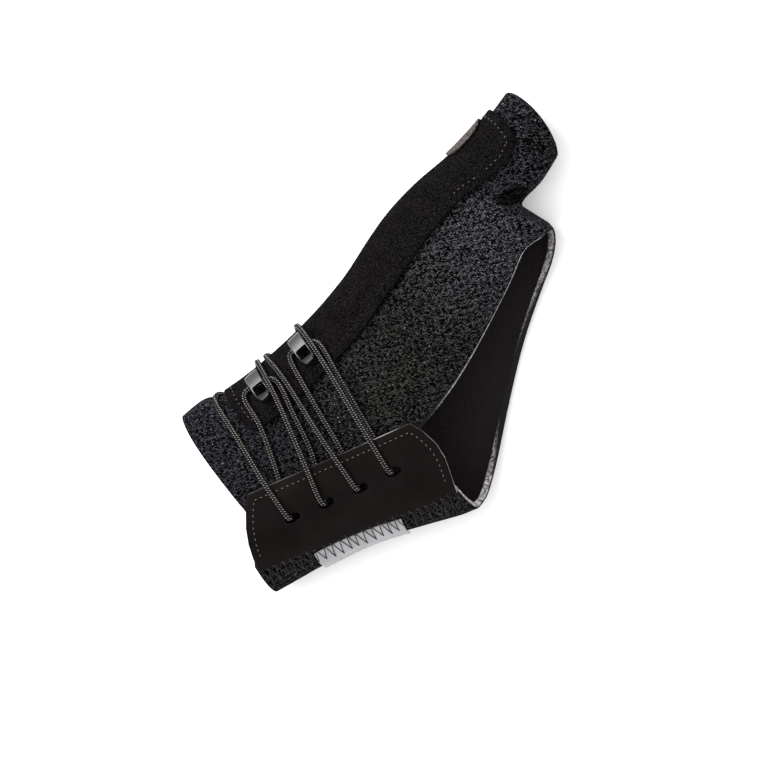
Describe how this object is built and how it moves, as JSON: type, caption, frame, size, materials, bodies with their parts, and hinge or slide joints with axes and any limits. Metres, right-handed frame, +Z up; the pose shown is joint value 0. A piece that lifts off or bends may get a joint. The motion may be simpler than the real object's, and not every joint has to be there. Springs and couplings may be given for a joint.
{
  "type": "thumb brace",
  "caption": "Laced thumb brace: a padded mesh sleeve for wrist, palm and thumb, with a suede stay cover along the thumb edge and a pull tab whose laces tighten it through plastic guides.",
  "frame": {"origin": "middle of the brace's box, on the surface that its back panel lies on", "axes": "+X along the hand from the wrist opening to the fingers, +Y to the thumb side, +Z up from the back panel to the front panel"},
  "size_m": [0.1816, 0.14, 0.0403],
  "materials": {
    "spacer_mesh": "black knitted spacer mesh with a grey foam core and a smooth dark lining",
    "suede": "matt black synthetic suede with a short nap",
    "patch_cloth": "dark grey finely dotted cloth, blank",
    "tab_leather": "black synthetic leather with a fine grain and light stitching",
    "satin_ribbon": "grey woven satin ribbon, blank",
    "guide_plastic": "glossy black moulded plastic",
    "braided_lace": "black braided cord with light grey flecks",
    "light_thread": "light grey sewing thread",
    "dark_thread": "black sewing thread"
  },
  "bodies": {
    "root": {"body_shell": "spacer_mesh", "stay_cover": "suede", "edge_patch": "patch_cloth", "lace_tab": "tab_leather", "seam_ribbon": "satin_ribbon", "lace_guide_front_1": "guide_plastic", "lace_guide_front_2": "guide_plastic", "lace_guide_back_1": "guide_plastic", "lace_guide_back_2": "guide_plastic", "lace_1": "braided_lace", "lace_2": "braided_lace"}
  },
  "joints": []
}
